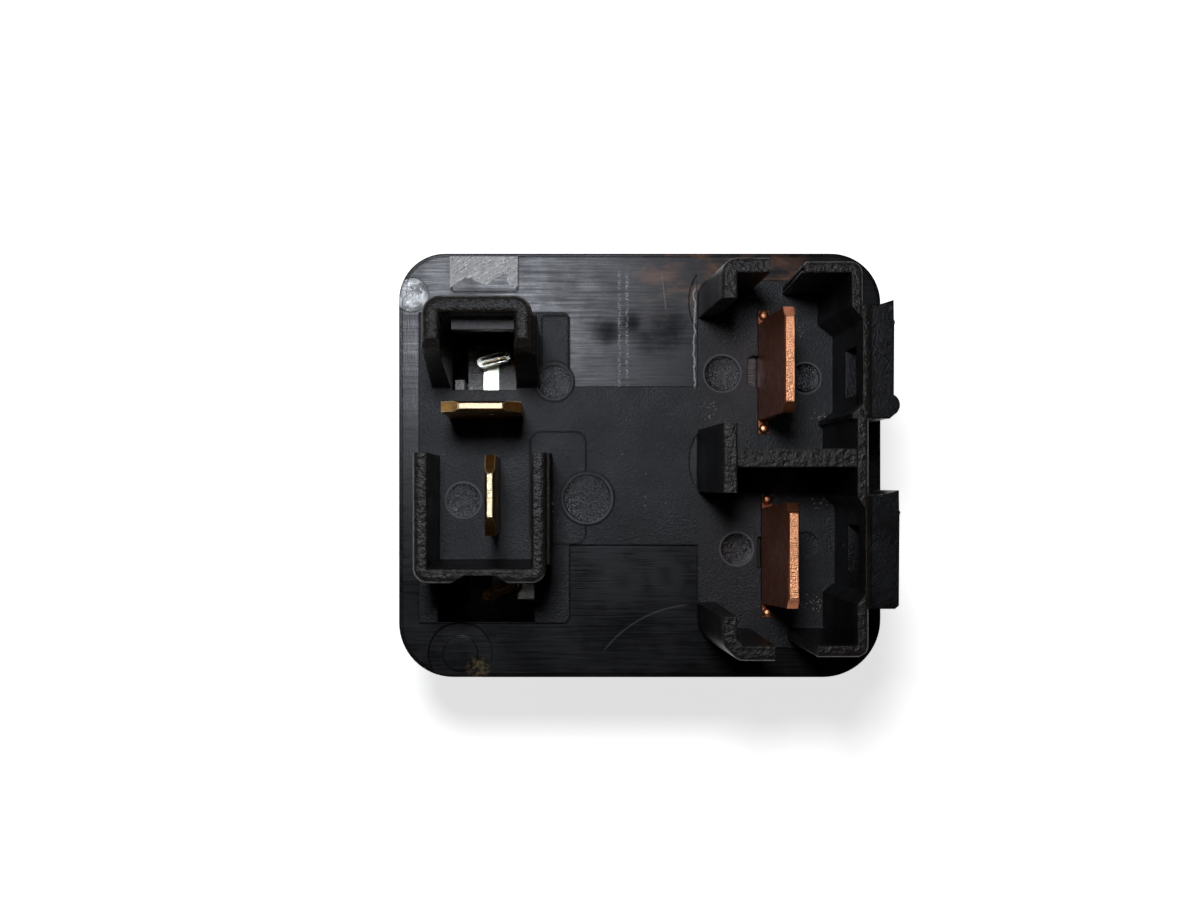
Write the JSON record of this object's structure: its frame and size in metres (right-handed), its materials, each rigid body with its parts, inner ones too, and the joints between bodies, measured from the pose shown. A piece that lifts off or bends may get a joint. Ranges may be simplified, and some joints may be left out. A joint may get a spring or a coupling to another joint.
{
  "type": "automotive relay",
  "caption": "Sealed-case automotive relay: coil plug with crossed blades, open cells round two copper load blades, and a working clapper armature inside the case",
  "frame": {"origin": "centre of the case, on the flat outer face of the cover that the relay rests on", "axes": "+X from the coil plug to the load cells, +Y along the row of load blades towards the arch-shaped shroud's end, +Z along the blades away from the case"},
  "size_m": [0.0416, 0.0366, 0.042],
  "materials": {
    "base_plastic": "moulded glass-filled plastic, fine grain, glossy on the lower faces",
    "cover_plastic": "moulded plastic",
    "terminal_brass": "stamped brass with sheared edges",
    "terminal_copper": "stamped copper, dulled",
    "solder": "tinned",
    "solder_copper": "copper-toned wire joint",
    "bobbin_plastic": "moulded plastic",
    "enamelled_wire": "enamelled copper wire",
    "plated_iron": "zinc-plated soft iron",
    "spring_bronze": "rolled copper alloy",
    "contact_silver": "silver alloy, dull",
    "spring_steel": "drawn wire",
    "resistor_body": "dipped resistor body"
  },
  "bodies": {
    "housing": {"connector_base": "base_plastic", "cover": "cover_plastic", "coil_terminal_upper": "terminal_brass", "coil_terminal_lower": "terminal_brass", "solder_joint_upper": "solder", "solder_joint_lower": "solder_copper", "load_terminal_upper": "terminal_copper", "load_terminal_lower": "terminal_copper", "bobbin": "bobbin_plastic", "coil_winding": "enamelled_wire", "core": "plated_iron", "yoke": "plated_iron", "fixed_contact": "contact_silver", "braid": "terminal_copper", "return_spring": "spring_steel", "coil_lead_upper": "enamelled_wire", "coil_lead_lower": "enamelled_wire", "resistor": "resistor_body", "resistor_leads": "solder"},
    "armature_arm": {"armature": "plated_iron", "contact_spring": "spring_bronze", "contact_rivets": "terminal_brass", "moving_contact": "contact_silver"}
  },
  "joints": [
    {"name": "armature_swing", "type": "hinge", "parent": "housing", "child": "armature_arm", "pos_m": [-0.00015, 0.0086, 0.0135], "axis": [0, 0, 1], "range_deg": [0, 4.5], "stiffness_Nm_per_rad": 0.02, "springref_deg": -5.73, "deforming": ["return_spring", "braid"]}
  ]
}
